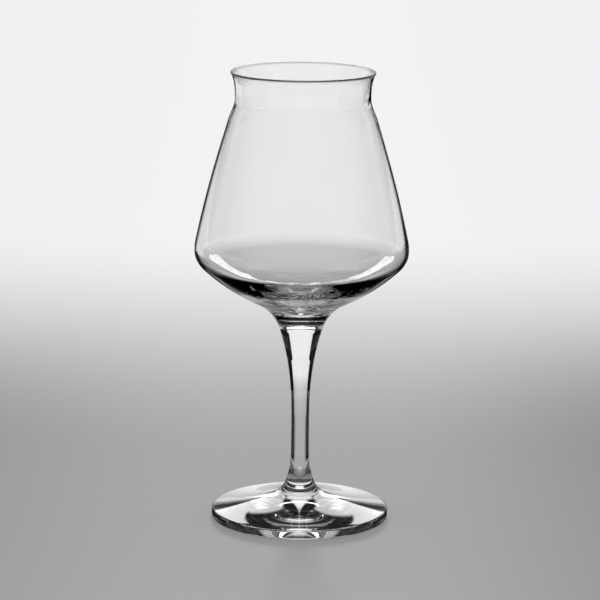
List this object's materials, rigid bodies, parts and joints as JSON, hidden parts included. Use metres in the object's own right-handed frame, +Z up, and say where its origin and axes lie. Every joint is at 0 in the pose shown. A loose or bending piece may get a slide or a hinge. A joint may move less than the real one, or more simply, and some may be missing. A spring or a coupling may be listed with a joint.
{
  "type": "tulip beer glass",
  "caption": "Stemmed tulip beer glass of clear glass: a thin bowl with an angled belly, drawn-in neck and flared lip, on a slim stem and a round foot.",
  "frame": {"origin": "middle of the flat ring under the foot, on the table", "axes": "+Z up along the glass's axis of revolution, towards the rim; X and Y are alike"},
  "size_m": [0.0944, 0.0944, 0.2],
  "materials": {
    "bowl_glass": "clear colourless blown glass, fire polished",
    "stem_glass": "clear colourless drawn glass, fire polished",
    "foot_glass": "clear colourless pressed glass, fire polished"
  },
  "bodies": {
    "root": {"bowl": "bowl_glass", "stem": "stem_glass", "foot": "foot_glass"}
  },
  "joints": []
}
